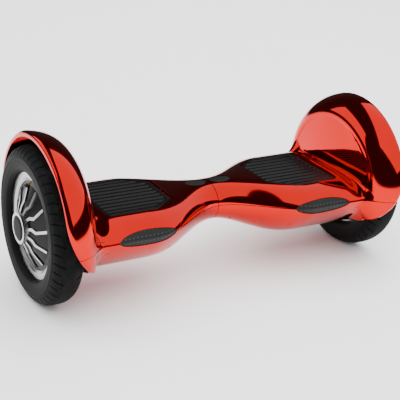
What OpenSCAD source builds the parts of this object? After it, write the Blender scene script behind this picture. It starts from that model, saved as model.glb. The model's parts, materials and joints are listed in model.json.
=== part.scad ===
// Self balancing hoverboard: two half bodies on a pivot tube, each with a hub motor wheel.
// +X runs along the board to the right wheel, -Y is the front and +Z is up.
// The origin is on the ground below the middle of the neck. Sizes are in millimetres.
// Right hand pieces are drawn, and the left hand ones are their mirror images.

/* [Wheels] */
// Outside diameter of the tyre
tyre_d = 254; // [240:1:305]
// Width of the tyre
tyre_w = 52; // [48:1:58]
// Distance between the middles of the two wheels
wheel_track = 597; // [560:1:720]
// Diameter over the rim flanges
rim_d = 169; // [165:1:174]
// Half of the distance between the rim flanges
rim_half_w = 15.5; // [15:0.5:17]
// Distance from the middle of a wheel to the face of its centre cap
cap_reach = 39.6; // [38:0.1:46]
// Number of spokes on the motor cover
spokes = 12; // [8:1:16]
// Diameter of the axle where the clamp holds it
axle_d = 16; // [14:1:17]

/* [Body] */
// Depth of the deck from front to back
deck_depth = 225; // [220:1:270]
// Height of the deck above the axle
deck_rise = 29; // [28:1:34]
// Depth of the belly below the axle
belly_drop = 65; // [64:1:78]
// Depth of the neck from front to back
neck_depth = 76; // [72:1:90]
// Height of the neck above the belt line
neck_rise = 28; // [26:1:30]
// Depth of the neck below the belt line
neck_drop = 33; // [31:1:38]
// Wall thickness of the shells
wall = 3; // [2.5:0.1:3.2]
// Radial distance from the tyre to the outside of the fender
fender_gap = 19; // [17:1:30]
// Distance that the fender lip stands out from the middle of the wheel
lip_reach = 9.5; // [6:0.5:16]
// Gap between the two halves at the neck
split_gap = 1; // [0.6:0.2:2]

/* [Foot pads] */
// Length of a pad along the board
pad_len = 129; // [120:1:132]
// Depth of a pad from front to back
pad_depth = 144; // [130:1:148]
// Distance from the fender wall to the pad
pad_setback = 40; // [38:1:44]
// Number of ribs on a pad
pad_ribs = 9; // [5:1:10]
// How far a pad sinks under a foot
pad_travel = 1; // [0.5:0.1:1]

/* [Lamps] */
// Length of a headlamp lens
lamp_len = 103; // [80:1:110]
// Height of a headlamp lens
lamp_h = 25; // [18:1:27]
// Length of an indicator window
window_len = 39; // [30:1:42]
// Depth of an indicator window from front to back
window_depth = 26; // [18:1:28]

/* [Inside] */
// Length of the battery pack
battery_len = 116; // [100:1:118]
// Depth of the battery pack from front to back
battery_depth = 76; // [60:1:78]
// Height of the battery pack
battery_h = 38; // [30:1:40]
// Outside diameter of the pivot tube
pivot_d = 30; // [26:1:31]

/* [Hidden] */
$fn = 96;
big = 1000;

// Heights and places worked out from the driving sizes
tyre_r = tyre_d / 2;
rim_r = rim_d / 2;
axle_z = tyre_r;
wheel_x = wheel_track / 2;
tyre_side_gap = 10.5;
wall_x = wheel_x - tyre_w / 2 - tyre_side_gap - wall;
lip_x = wheel_x + lip_reach;
disc_r = deck_depth / 2 + 0.5;
fender_r = max(tyre_r + fender_gap, disc_r + 33);
pad_out_x = wall_x - pad_setback;
pad_in_x = pad_out_x - pad_len;
pad_mid_x = (pad_out_x + pad_in_x) / 2;
flare_len = 1.67 * pad_in_x;
pivot_z = axle_z - (neck_drop - neck_rise) / 2;

// Running clearances
bearing_gap = 0.05;
seat_gap = 0.1;
lens_gap = 0.4;
pad_gap = 0.5;

// ---------- Helpers ----------

function unit(v) = v / norm(v);
function smooth(t) = let (c = min(max(t, 0), 1)) c * c * (3 - 2 * c);
function mix(a, b, f) = a + (b - a) * f;

// Arc that rounds the corner b between its neighbours a and c
function corner_arc(a, b, c, r, n = 6) =
    let (u = unit(a - b), v = unit(c - b), half = acos(u * v) / 2)
    let (o = b + unit(u + v) * r / sin(half), s = b + u * r / tan(half) - o, e = b + v * r / tan(half) - o)
    [for (i = [0:n]) o + r * unit(mix(s, e, i / n))];
function rounded(pts, r) =
    let (n = len(pts))
    [for (i = [0:n - 1]) each corner_arc(pts[(i + n - 1) % n], pts[i], pts[(i + 1) % n], r)];
function ellipse_pts(a, b, n = 40) = [for (i = [0:n - 1]) [a * cos(360 * i / n), b * sin(360 * i / n)]];

module left() { mirror([1, 0, 0]) children(); }
module on_wheel() { translate([wheel_x, 0, axle_z]) rotate([0, 90, 0]) children(); }
// Revolves a [radius, x] profile about the axle through part of the upper side
module about_axle(profile, start, sweep) {
    translate([0, 0, axle_z]) rotate([0, 90, 0]) rotate([0, 0, start])
        rotate_extrude(angle = sweep) polygon(profile);
}
module front_prism(pts, y0, y1) {
    translate([0, y1, 0]) rotate([90, 0, 0]) linear_extrude(y1 - y0) polygon(pts);
}

// ---------- Body surface ----------

trough_start = pad_out_x + 3;
trough_len = 24;
trough_drop = 9;

function flare(x) = smooth(x / flare_len);
function half_depth(x) = mix(neck_depth, deck_depth, flare(x)) / 2;
function trough(x) = trough_drop * smooth((x - trough_start) / trough_len);
function top_rise(x) = mix(neck_rise, deck_rise, flare(x)) - trough(x);
function bottom_drop(x) = mix(neck_drop, belly_drop, smooth(x / flare_len * 1.2));
function upper_n(x) = mix(2, 4, flare(x));
function upper_m(x) = mix(0.5, 0.8, flare(x));
function lower_n(x) = mix(2, 3, flare(x));
function lower_m(x) = mix(0.5, 0.9, flare(x));

// Point of the body at x, with t from 0 at the front belt to 180 at the rear over the top,
// and to -180 under the belly
function body_point(x, t, inset) =
    let (top = t >= 0, h = half_depth(x) - inset, v = (top ? top_rise(x) : bottom_drop(x)) - inset)
    let (n = top ? upper_n(x) : lower_n(x), m = top ? upper_m(x) : lower_m(x))
    let (lift = v * pow(max(1 - pow(abs(cos(t)), n), 0), m))
    [x, -h * cos(t), axle_z + (top ? lift : -lift)];

// Closed wall that follows the body between two insets
module body_patch(x0, x1, nx, t0, t1, nt, outer_inset, inner_inset) {
    ring = 2 * (nt + 1);
    xs = [for (i = [0:nx]) mix(x0, x1, i / nx)];
    ts = [for (j = [0:nt]) mix(t0, t1, j / nt)];
    pts = [for (x = xs) each concat(
        [for (t = ts) body_point(x, t, outer_inset)],
        [for (j = [nt:-1:0]) body_point(x, ts[j], inner_inset)])];
    sides = [for (i = [0:nx - 1]) for (j = [0:ring - 1])
        let (a = i * ring + j, b = i * ring + (j + 1) % ring)
        each [[a, b, b + ring], [a, b + ring, a + ring]]];
    caps = [for (j = [0:nt - 1])
        let (a = [j, ring - 1 - j, ring - 2 - j, j + 1], b = [j + 1, ring - 2 - j, ring - 1 - j, j])
        each [a, [for (k = b) nx * ring + k]]];
    faces = concat(sides, caps);
    polyhedron(points = pts, faces = t1 > t0 ? faces : [for (f = faces) [for (k = [len(f) - 1:-1:0]) f[k]]]);
}

skin_steps = 26;
skin_sides = 24;
skin_end = wall_x + 0.5;

module skin(t1) {
    body_patch(split_gap / 2, skin_end, skin_steps, 0, t1, skin_sides, 0, wall);
}

// ---------- Fender ----------

lip_h = 6.5;
lip_t = 4;
axle_hole_r = 12;
dome_step = 7.5;
edge_arc_r = 120;
edge_arc_z = axle_z + 58;
skirt_angle = 18;
skirt_web = 30;

function dome(r1, x0, a) = [disc_r + (r1 - disc_r) * sin(a), x0 + (lip_x - x0) * (1 - cos(a))];
function fender_profile(inner_r) = concat(
    [[inner_r, wall_x]],
    [for (a = [0:dome_step:90]) dome(fender_r, wall_x, a)],
    [[fender_r - lip_h, lip_x], [fender_r - lip_h, lip_x - lip_t], [fender_r - wall, lip_x - lip_t]],
    [for (a = [67.5:-dome_step:0]) dome(fender_r - wall, wall_x + wall, a)],
    [[inner_r, wall_x + wall]]);

// What lies outside the fender's curved front and rear edges
module fender_edge_cut() {
    arc = [for (a = [0:-5:-80]) [lip_x - edge_arc_r * (1 - cos(a)), edge_arc_z + edge_arc_r * sin(a)]];
    far_x = lip_x + 2 * wall;
    front_prism(concat(arc, [[far_x, edge_arc_z - edge_arc_r], [far_x, edge_arc_z]]), -big / 2, big / 2);
}

module upper_fender() {
    difference() {
        about_axle(fender_profile(axle_hole_r), 90, 180);
        fender_edge_cut();
    }
}

module lower_fender() {
    belly = [for (j = [0:skin_sides]) let (p = body_point(wall_x, -180 * j / skin_sides, 0)) [p[1], p[2]]];
    difference() {
        union() {
            translate([wall_x, 0, 0]) rotate([90, 0, 90]) linear_extrude(wall) polygon(belly);
            about_axle(fender_profile(disc_r - skirt_web), 90 - skirt_angle, skirt_angle);
            about_axle(fender_profile(disc_r - skirt_web), 270, skirt_angle);
        }
        fender_edge_cut();
        translate([wall_x - 1, 0, axle_z]) rotate([0, 90, 0]) cylinder(r = axle_hole_r, h = wall + 2);
    }
}

// ---------- Foot pads ----------

pad_corner_r = 9;
pad_inner_edge = 86;
pad_chamfer = 42;
pad_seat_z = axle_z + 20.5;
pad_base_z = pad_seat_z + pad_travel + 0.3;
pad_top_z = axle_z + 28;
rib_h = 1.8;
rib_border = 11;
well_wall = 3;
peg_r = 3.5;
peg_dx = 42;
peg_dy = 34;
peg_len = 10;

function pad_outline(grow) =
    let (hd = pad_depth / 2 + grow, hi = pad_inner_edge / 2 + grow / 2)
    let (x0 = pad_in_x - grow, x1 = pad_out_x + grow)
    let (xc = pad_in_x + pad_chamfer)
    rounded([[x1, -hd], [x1, hd], [xc, hd], [x0, hi], [x0, -hi], [xc, -hd]], pad_corner_r + grow);

module at_pegs() {
    for (dx = [-peg_dx, peg_dx], dy = [-peg_dy, peg_dy]) translate([pad_mid_x + dx, dy, 0]) children();
}

module pad_well() {
    translate([0, 0, pad_seat_z - wall]) linear_extrude(2 * wall) polygon(pad_outline(well_wall));
}

module pad_pocket() {
    translate([0, 0, pad_seat_z]) linear_extrude(deck_rise) polygon(pad_outline(pad_gap));
    at_pegs() translate([0, 0, pad_seat_z - 2 * wall]) cylinder(r = peg_r + 1, h = 3 * wall);
}

module foot_pad() {
    rib_pitch = (pad_depth - 2 * rib_border) / pad_ribs;
    color("#1b1c1e") {
        translate([0, 0, pad_base_z])
            linear_extrude(pad_top_z - rib_h - pad_base_z) polygon(pad_outline(0));
        translate([0, 0, pad_top_z - rib_h - 1]) linear_extrude(rib_h + 1) difference() {
            polygon(pad_outline(0));
            polygon(pad_outline(-5));
        }
        intersection() {
            translate([0, 0, pad_base_z]) linear_extrude(pad_top_z - pad_base_z) polygon(pad_outline(-4));
            for (i = [0:pad_ribs - 1])
                translate([pad_in_x, (i + 0.5 - pad_ribs / 2) * rib_pitch - rib_pitch / 4, pad_top_z - rib_h - 1])
                    cube([pad_len, rib_pitch / 2, rib_h + 1]);
        }
        at_pegs() translate([0, 0, pad_base_z - peg_len]) cylinder(r = peg_r, h = peg_len + 1);
    }
}

// ---------- Lamps and windows ----------

lamp_x = pad_mid_x + 10.5;
lens_t = 2.6;
lamp_board_y = -86;
lamp_board_t = 1.6;
window_x = split_gap / 2 + 3.5 + window_len / 2;

module lamp_shape(grow) {
    pts = [for (p = ellipse_pts(lamp_len / 2 + grow, lamp_h / 2 + grow)) p + [lamp_x, axle_z]];
    front_prism(pts, -deck_depth, -deck_depth / 4);
}

module window_shape(grow) {
    translate([window_x, 0, axle_z])
        linear_extrude(2 * neck_rise) polygon(ellipse_pts(window_len / 2 + grow, window_depth / 2 + grow, 32));
}

module lamp_lens() {
    color("#2a2d2c") {
        intersection() {
            body_patch(lamp_x - lamp_len * 0.56, lamp_x + lamp_len * 0.56, 12, -42, 42, 14, 0.4, 0.4 + lens_t);
            lamp_shape(-lens_gap);
        }
        for (dx = [-30, 30]) translate([lamp_x + dx, lamp_board_y, axle_z]) rotate([90, 0, 0])
            cylinder(r = 2, h = half_depth(lamp_x + dx) + lamp_board_y - 2);
    }
}

module lamp_board() {
    board_len = 84;
    board_h = 15;
    leds = 8;
    led = 2.8;
    led_pitch = 7;
    color("#e8e4d4") {
        translate([lamp_x - board_len / 2, lamp_board_y, axle_z - board_h / 2])
            cube([board_len, lamp_board_t, board_h]);
        for (i = [0:leds - 1], dz = [-4, 4])
            translate([lamp_x + (i - (leds - 1) / 2) * led_pitch - led / 2, lamp_board_y - 1, axle_z + dz - led / 2])
                cube([led, 1.2, led]);
    }
}

module window() {
    color("#1d1f20") intersection() {
        body_patch(split_gap / 2 + 1, window_x + window_len * 0.56, 10, 55, 125, 12, 0.3, 0.3 + lens_t);
        window_shape(-lens_gap);
    }
}

// ---------- Shells ----------

plate_z = axle_z - 43;
screw_y = 42;
screw_xs = [pad_mid_x - 34, pad_mid_x + 14, pad_mid_x + 60];
belly_z = axle_z - belly_drop;
screw_seat_z = belly_z + 8.2;
screw_r = 2;
screw_head_r = 3.8;
screw_head_h = 2.6;
screw_floor = 2.8;
post_r = 5.5;
button_x = pad_mid_x - 6;
socket_x = pad_mid_x + 38;
port_y = 8;
boss_top_z = belly_z + 8;
boss_face_z = belly_z - 0.5;
boss_h = boss_top_z - boss_face_z;
button_r = 9;
socket_r = 10;
flap_arm = 18;

module at_screws() {
    for (x = screw_xs, y = [-screw_y, screw_y]) translate([x, y, 0]) children();
}

module upper_shell() {
    color("#c8372b") difference() {
        union() {
            skin(180);
            upper_fender();
            pad_well();
        }
        pad_pocket();
        lamp_shape(0);
        window_shape(0);
    }
}

module lower_shell(ports) {
    color("#b93228") difference() {
        union() {
            skin(-180);
            lower_fender();
            at_screws() translate([0, 0, screw_seat_z - screw_floor])
                cylinder(r = post_r, h = plate_z - screw_seat_z + screw_floor);
            if (ports) translate([0, port_y, boss_face_z]) {
                translate([button_x, 0, 0]) cylinder(r = button_r + 4, h = boss_h);
                translate([socket_x, 0, 0]) cylinder(r = socket_r + 4, h = boss_h);
                translate([socket_x - flap_arm, 0, 0]) cylinder(r = 6, h = boss_h);
            }
        }
        lamp_shape(0);
        at_screws() {
            translate([0, 0, belly_z - 5]) cylinder(r = screw_head_r + 0.4, h = 5 + screw_seat_z - belly_z);
            cylinder(r = screw_r + seat_gap, h = plate_z + 1);
        }
        if (ports) {
            translate([button_x, port_y, boss_face_z - 1]) cylinder(r = button_r + lens_gap, h = 20);
            translate([socket_x, port_y, boss_face_z - 1]) cylinder(r = socket_r + 0.05, h = 20);
            translate([socket_x - flap_arm, port_y, boss_face_z - 1]) cylinder(r = 1.55, h = 7);
        }
    }
}

module shell_screws(ports) {
    color("#8f9296") {
        at_screws() translate([0, 0, screw_seat_z]) {
            translate([0, 0, -screw_head_h]) cylinder(r = screw_head_r, h = screw_head_h);
            cylinder(r = screw_r, h = plate_z + 4 - screw_seat_z);
        }
        if (ports) translate([socket_x - flap_arm, port_y, flap_z - 0.3]) {
            translate([0, 0, -1.4]) cylinder(r = 3.2, h = 1.4);
            cylinder(r = 1.5, h = boss_face_z - flap_z + 5);
        }
    }
}

// ---------- Chassis and pivot ----------

plate_t = 4;
plate_half = 62;
block_x0 = wall_x - 25;
block_x1 = wall_x - 3;
block_half = 28;
rib_t = 5;
rib_rise = 24;
pivot_r = pivot_d / 2;
bush_t = 2;
bush_flange = 2;
boss_x0 = 12;
boss_x1 = 62;
boss_r = pivot_r + 6;
cap_h = 10;
clamp_bolt_r = 3;
clamp_dx = 5.5;
clamp_dy = 19;
board_post_dx = 62;
board_post_dy = 52;
sensor_z = axle_z + 5;
main_board_z = plate_z + plate_t + 4;
main_post_dx = 48;
main_post_dy = 34;

module at_board_posts() {
    for (dx = [-board_post_dx + 14, board_post_dx], dy = [-board_post_dy, board_post_dy])
        translate([pad_mid_x + dx, dy, 0]) children();
}

module at_main_posts() {
    for (dx = [-main_post_dx, main_post_dx], dy = [-main_post_dy, main_post_dy])
        translate([pad_mid_x + dx, dy, 0]) children();
}

module at_clamp_bolts() {
    for (dx = [-clamp_dx, clamp_dx], dy = [-clamp_dy, clamp_dy])
        translate([(block_x0 + block_x1) / 2 + dx, dy, 0]) children();
}

module along_x(x0, x1, r, z) {
    translate([x0, 0, z]) rotate([0, 90, 0]) cylinder(r = r, h = x1 - x0);
}

module chassis(bore_r, main_posts) {
    plate_x0 = pad_in_x - 15;
    color("#9aa0a4") difference() {
        union() {
            translate([0, 0, plate_z]) linear_extrude(plate_t) polygon([
                [plate_x0, -30], [plate_x0 + 30, -56], [block_x1, -plate_half],
                [block_x1, plate_half], [plate_x0 + 30, 56], [plate_x0, 30]]);
            for (s = [-1, 1]) translate([plate_x0 + 40, s * (plate_half - 5.5) - rib_t / 2, plate_z])
                cube([block_x1 - plate_x0 - 40, rib_t, rib_rise]);
            translate([block_x0, -block_half, plate_z])
                cube([block_x1 - block_x0, 2 * block_half, axle_z - plate_z]);
            front_prism([
                [boss_x0 + 8, pivot_z - 16], [boss_x1, pivot_z - 16], [boss_x1, pivot_z - 4],
                [plate_x0 + 20, plate_z + plate_t], [plate_x0 + 20, plate_z], [plate_x0 + 1, plate_z]], -12, 12);
            along_x(boss_x0, boss_x1, boss_r, pivot_z);
            at_board_posts() translate([0, 0, plate_z]) cylinder(r = 4, h = sensor_z - plate_z);
            if (main_posts) at_main_posts() translate([0, 0, plate_z])
                cylinder(r = 3, h = main_board_z - plate_z);
        }
        along_x(boss_x0 - 1, boss_x1 + 1, bore_r, pivot_z);
        along_x(boss_x1, boss_x1 + 20, boss_r + 1, pivot_z);
        along_x(block_x0 - 1, block_x1 + 1, axle_d / 2 + bearing_gap, axle_z);
        at_clamp_bolts() translate([0, 0, plate_z + 8]) cylinder(r = clamp_bolt_r + bearing_gap, h = axle_z);
        at_screws() translate([0, 0, plate_z - 1]) cylinder(r = screw_r + bearing_gap, h = 5.5);
    }
}

module axle_clamp() {
    color("#8a9094") difference() {
        translate([block_x0, -block_half, axle_z]) cube([block_x1 - block_x0, 2 * block_half, cap_h]);
        along_x(block_x0 - 1, block_x1 + 1, axle_d / 2 + bearing_gap, axle_z);
        at_clamp_bolts() translate([0, 0, axle_z - 1]) cylinder(r = clamp_bolt_r + seat_gap, h = cap_h + 2);
    }
}

module clamp_bolts() {
    color("#3a3c40") at_clamp_bolts() difference() {
        union() {
            translate([0, 0, axle_z - 25]) cylinder(r = clamp_bolt_r, h = cap_h + 25);
            translate([0, 0, axle_z + cap_h]) cylinder(r = 4.7, h = 4);
        }
        translate([0, 0, axle_z + cap_h + 1.5]) cylinder(r = 2.6, h = 4, $fn = 6);
    }
}

module pivot_tube() {
    ring_x = boss_x1 + bush_flange;
    color("#b4b8bc") difference() {
        along_x(-boss_x1, ring_x + 6, pivot_r, pivot_z);
        along_x(-boss_x1 - 1, ring_x + 7, pivot_r - 3, pivot_z);
        difference() {
            along_x(ring_x + 0.1, ring_x + 2.1, pivot_r + 1, pivot_z);
            along_x(ring_x, ring_x + 3, pivot_r - 0.9, pivot_z);
        }
    }
}

module pivot_bushes() {
    color("#c9a24a") for (s = [0, 1]) difference() {
        union() {
            along_x(s ? boss_x1 - 18 : boss_x0, s ? boss_x1 : boss_x0 + 18, pivot_r + bush_t, pivot_z);
            along_x(s ? boss_x1 : boss_x0 - bush_flange, s ? boss_x1 + bush_flange : boss_x0,
                boss_r - 1, pivot_z);
        }
        along_x(0, boss_x1 + 10, pivot_r + bearing_gap, pivot_z);
    }
}

module pivot_ring() {
    x0 = boss_x1 + bush_flange + 0.3;
    color("#55585c") difference() {
        along_x(x0, x0 + 1.5, pivot_r + 3, pivot_z);
        along_x(x0 - 1, x0 + 3, pivot_r - 0.85, pivot_z);
        translate([x0 - 1, -3, pivot_z - pivot_r - 5]) cube([4, 6, 8]);
    }
}

// ---------- Wheel ----------

seat_r = rim_r - 6.5;
well_r = rim_r - 10;
rim_bore_r = rim_r - 15;
cover_r = rim_r - 13;
mouth_r = rim_r - 8.5;
bead_z = rim_half_w - 2.6;
tyre_mid_r = mix(rim_r, tyre_r, 0.45);
crown_h = tyre_r - tyre_mid_r;
bearing_r = 17.5;
outer_journal_r = 7.5;
inner_journal_r = 8.5;
magnet_r = rim_r - 23;
stator_r = magnet_r - 0.8;
hub_r = 32;
teeth = 27;
ring_r = 25;
hub_cap_r = 20;
cover_face = 29.5;

// Rounded square quarter turns between radius r0 and r0 + h, half width w
function crown(r0, h, w, e, step) =
    [for (a = [0:step:180]) [r0 + h * pow(sin(a), e), w * (cos(a) >= 0 ? 1 : -1) * pow(abs(cos(a)), e)]];
function sidewall(r0, r1, w0, w1, step) =
    [for (a = [step:step:90]) [mix(r0, r1, sin(a)), mix(w1, w0, cos(a))]];

module tyre() {
    outer_low = sidewall(tyre_mid_r, rim_r + 0.8, tyre_w / 2, rim_half_w + 1, 18);
    inner_low = sidewall(tyre_mid_r, rim_r - 2, tyre_w / 2 - 5.5, bead_z - 5, 18);
    outer = crown(tyre_mid_r, crown_h, tyre_w / 2, 0.75, 10);
    inner = crown(tyre_mid_r, crown_h - 7, tyre_w / 2 - 5.5, 0.9, 12);
    seat = seat_r + bearing_gap;
    bead = [[rim_r + 0.8, bead_z - 0.1], [seat, bead_z - 0.1], [seat, bead_z - 5]];
    color("#17181a") on_wheel() rotate_extrude() polygon(concat(
        outer,
        [for (p = outer_low) [p[0], -p[1]]],
        [for (p = bead) [p[0], -p[1]]],
        [for (i = [len(inner_low) - 1:-1:0]) [inner_low[i][0], -inner_low[i][1]]],
        [for (i = [len(inner) - 1:-1:0]) inner[i]],
        inner_low,
        [for (i = [len(bead) - 1:-1:0]) bead[i]],
        [for (i = [len(outer_low) - 1:-1:0]) outer_low[i]]));
}

module inner_tube() {
    tube_r = min(crown_h - 7.6, tyre_w / 2 - 7);
    color("#303234") on_wheel() rotate_extrude() translate([tyre_mid_r, 0]) difference() {
        circle(r = tube_r);
        circle(r = tube_r - 1.6);
    }
}

// The valve leaves the rim beside the outer cover, and bends towards the middle of the wheel
valve_r = 2.1;
valve_tilt = 10;
valve_bend = 28;
valve_bend_z = 13;
valve_base_r = cover_r + 3.95;
valve_base_z = 4;

module at_valve() {
    on_wheel() rotate([0, 0, 180]) translate([valve_base_r, 0, valve_base_z]) rotate([0, -valve_tilt, 0])
        children();
}

module at_valve_end() {
    at_valve() translate([0, 0, valve_bend_z]) rotate([0, -valve_bend, 0]) children();
}

module rim() {
    half = [
        [rim_r, rim_half_w], [rim_r, bead_z], [seat_r, bead_z],
        [seat_r, bead_z - 5.5], [well_r, bead_z - 7.5]];
    color("#c3c7cb") difference() {
        on_wheel() rotate_extrude() polygon(concat(
            half,
            [for (i = [len(half) - 1:-1:0]) [half[i][0], -half[i][1]]],
            [[cover_r, -rim_half_w], [cover_r, -rim_half_w + 3.5], [rim_bore_r, -rim_half_w + 3.5]],
            [[rim_bore_r, 9], [cover_r, 9], [cover_r, 12.5], [mouth_r, rim_half_w]]));
        at_valve() cylinder(r = valve_r + 0.3, h = 20);
    }
}

module valve_stem() {
    color("#b08d4a") {
        at_valve() cylinder(r = valve_r, h = valve_bend_z);
        at_valve_end() sphere(r = valve_r);
        at_valve_end() cylinder(r = valve_r, h = 4);
    }
}

module valve_cap() {
    color("#141516") at_valve_end() translate([0, 0, 4]) cylinder(r = valve_r + 0.9, h = 6);
}

module outer_cover() {
    color("#121314") on_wheel() rotate_extrude() polygon([
        [0, cover_face], [ring_r, cover_face], [30, 27.5], [cover_r - 6, 13.5], [cover_r - 0.1, 12.2],
        [cover_r - 0.1, 9], [cover_r - 6, 9.6], [30, 24], [bearing_r + 4, 25],
        [bearing_r + 4, 13], [bearing_r, 13], [bearing_r, 26.5], [0, 26.5]]);
}

module spoke_trim() {
    leg_w = 4.6;
    r0 = ring_r - 1;
    r1 = 43;
    r2 = cover_r - 6;
    band_t = 2.2;
    color("#d4d7da") on_wheel() {
        intersection() {
            rotate_extrude() polygon([
                [r0, cover_face], [ring_r, cover_face], [30, 27.5], [r2, 13.5], [r2, 13.5 + band_t],
                [30, 27.5 + band_t], [ring_r, cover_face + band_t], [r0, cover_face + band_t]]);
            union() {
                for (i = [0:spokes - 1]) rotate([0, 0, 360 * (i + 0.5) / spokes]) linear_extrude(cap_reach)
                    polygon([
                        [r0 - 1, -leg_w / 2], [r1 - 8, -leg_w / 2], [r1, -leg_w / 2 + 5], [r2 + 1, -leg_w / 2 + 2],
                        [r2 + 1, leg_w / 2 + 2], [r1 - 2, leg_w / 2 + 5], [r1 - 10, leg_w / 2], [r0 - 1, leg_w / 2]]);
            }
        }
        translate([0, 0, cover_face]) difference() {
            cylinder(r = ring_r, h = 8);
            translate([0, 0, -1]) cylinder(r = hub_cap_r + seat_gap, h = 10);
        }
    }
}

module hub_cap() {
    cap_h = cap_reach - cover_face;
    color("#3c4045") on_wheel() translate([0, 0, cover_face]) rotate_extrude() polygon([
        [0, 0], [hub_cap_r, 0], [hub_cap_r, cap_h - 3], [hub_cap_r - 1.5, cap_h - 1.2],
        [hub_cap_r - 5, cap_h - 0.3], [0, cap_h]]);
}

module inner_cover() {
    z0 = -rim_half_w;
    color("#1a1b1d") on_wheel() rotate_extrude() polygon([
        [cover_r - 0.1, z0], [cover_r - 0.1, z0 + 3.4], [cover_r - 6, z0 + 3.4], [cover_r - 8, z0 + 0.5],
        [12, z0 + 0.5], [12, z0 - 1], [bearing_r, z0 - 1], [bearing_r, z0 - 11], [bearing_r + 4, z0 - 11],
        [bearing_r + 6, z0 - 3.5], [cover_r - 6, z0 - 2]]);
}

module magnet_ring() {
    magnets = 30;
    magnet_w = 11;
    length = 18;
    color("#6a6e73") on_wheel() translate([0, 0, -length / 2 - 1]) linear_extrude(length) difference() {
        circle(r = rim_bore_r - seat_gap);
        difference() {
            circle(r = magnet_r + 3.5);
            for (i = [0:magnets - 1]) rotate(360 * (i + 0.5) / magnets)
                translate([magnet_r, -magnet_w / 2]) square([7, magnet_w]);
        }
    }
}

module stator() {
    length = 15;
    tooth_w = 5;
    color("#7d8288") on_wheel() translate([0, 0, -length / 2 - 1]) linear_extrude(length) difference() {
        union() {
            circle(r = 44);
            for (i = [0:teeth - 1]) rotate(360 * i / teeth) translate([40, -tooth_w / 2]) square([19, tooth_w]);
            difference() {
                circle(r = stator_r);
                circle(r = 58.5);
                for (i = [0:teeth - 1]) rotate(360 * (i + 0.5) / teeth) translate([50, -1.1]) square([20, 2.2]);
            }
        }
        circle(r = hub_r);
    }
}

module windings() {
    color("#b5652b") on_wheel() for (i = [0:teeth - 1]) rotate([0, 0, 360 * i / teeth])
        translate([45, 0, -1]) rotate([0, 90, 0]) linear_extrude(12.5) difference() {
            square([21, 8.4], center = true);
            square([15.4, 5.2], center = true);
        }
}

module axle() {
    inboard = wheel_x - block_x0 + 8;
    color("#a7acb1") on_wheel() rotate_extrude() polygon([
        [0, -inboard], [axle_d / 2 - 1, -inboard], [axle_d / 2, -inboard + 1], [axle_d / 2, -27.5],
        [inner_journal_r, -27.5], [inner_journal_r, -16], [10, -15.5], [10, -6],
        [hub_r - 0.1, -6], [hub_r - 0.1, 4], [10, 4], [10, 13.5],
        [outer_journal_r, 13.5], [outer_journal_r, 25.5], [0, 25.5]]);
}

module bearing(journal_r, z, width) {
    groove = 0.6;
    r0 = journal_r + bearing_gap;
    r3 = bearing_r - bearing_gap;
    r1 = mix(r0, r3, 0.3);
    r2 = mix(r0, r3, 0.75);
    translate([0, 0, z]) rotate_extrude() polygon([
        [r0, 0], [r1, 0], [r1, groove], [r2, groove], [r2, 0], [r3, 0],
        [r3, width], [r2, width], [r2, width - groove], [r1, width - groove], [r1, width], [r0, width]]);
}

module bearings() {
    color("#cfd2d6") on_wheel() {
        bearing(outer_journal_r, 14, 11);
        bearing(inner_journal_r, -rim_half_w - 11, 10);
    }
}

// ---------- Electronics ----------

pcb_t = 1.6;

module sensor_board() {
    x0 = pad_mid_x - board_post_dx + 8;
    color("#1f6b3a") {
        translate([x0, -board_post_dy - 5, sensor_z])
            cube([pad_mid_x + board_post_dx + 6 - x0, 2 * board_post_dy + 10, pcb_t]);
        at_pegs() for (s = [-1, 1]) translate([s * (peg_r + 2.5) - 1.5, -4, sensor_z + pcb_t - 0.2])
            cube([3, 8, 5.5]);
        translate([pad_mid_x - 6, -6, sensor_z + pcb_t - 0.2]) cube([12, 12, 1.6]);
        translate([pad_mid_x - 30, 20, sensor_z + pcb_t - 0.2]) cube([12, 6, 5]);
    }
}

module main_board() {
    color("#20603c") {
        translate([pad_mid_x - 55, -40, main_board_z]) cube([110, 80, pcb_t]);
        translate([0, 0, main_board_z + pcb_t - 0.2]) {
            translate([pad_mid_x - 40, -36, 0]) cube([80, 14, 16]);
            for (dx = [-30, -8]) translate([pad_mid_x + dx, 22, 0]) cylinder(r = 8, h = 26);
            translate([pad_mid_x + 10, 0, 0]) cube([12, 12, 1.8]);
            for (i = [0:4]) translate([pad_mid_x - 40 + 16 * i, -10, 0]) cube([9, 6, 8]);
        }
    }
}

battery_z = plate_z + plate_t;

module battery() {
    wrap_r = 6;
    hl = battery_len / 2;
    hd = battery_depth / 2;
    color("#2456a6") translate([pad_mid_x - hl, 0, battery_z]) rotate([90, 0, 90])
        linear_extrude(battery_len)
            polygon(rounded([[-hd, 0], [hd, 0], [hd, battery_h], [-hd, battery_h]], wrap_r));
}

module battery_strap() {
    hd = battery_depth / 2;
    strap_t = 1.2;
    color("#55585c") translate([pad_mid_x - 10, 0, battery_z]) rotate([90, 0, 90]) linear_extrude(20) difference() {
        union() {
            polygon(rounded([
                [-hd - strap_t, -8], [hd + strap_t, -8],
                [hd + strap_t, battery_h + strap_t], [-hd - strap_t, battery_h + strap_t]], 7));
            for (s = [-1, 1]) translate([s * (hd + 5), 1]) square([12, 2], center = true);
        }
        polygon(rounded([[-hd, -20], [hd, -20], [hd, battery_h], [-hd, battery_h]], 6));
        translate([-2 * hd, -20]) square([4 * hd, 20]);
    }
}

// ---------- Ports on the belly ----------

button_stand = 1.5;
button_travel = 1.2;
flap_t = 2.2;
flap_z = boss_face_z - 0.3 - flap_t;

module power_button() {
    color("#2b2d30") translate([button_x, port_y, boss_face_z - button_stand])
        cylinder(r = button_r, h = boss_top_z - boss_face_z - 0.5 + button_stand - button_travel);
}

module power_switch() {
    color("#3b3f44") translate([button_x, port_y, boss_top_z]) {
        cylinder(r = button_r + 3, h = 8);
        translate([-4, -4, 7]) cube([8, 8, 4]);
    }
}

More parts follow.
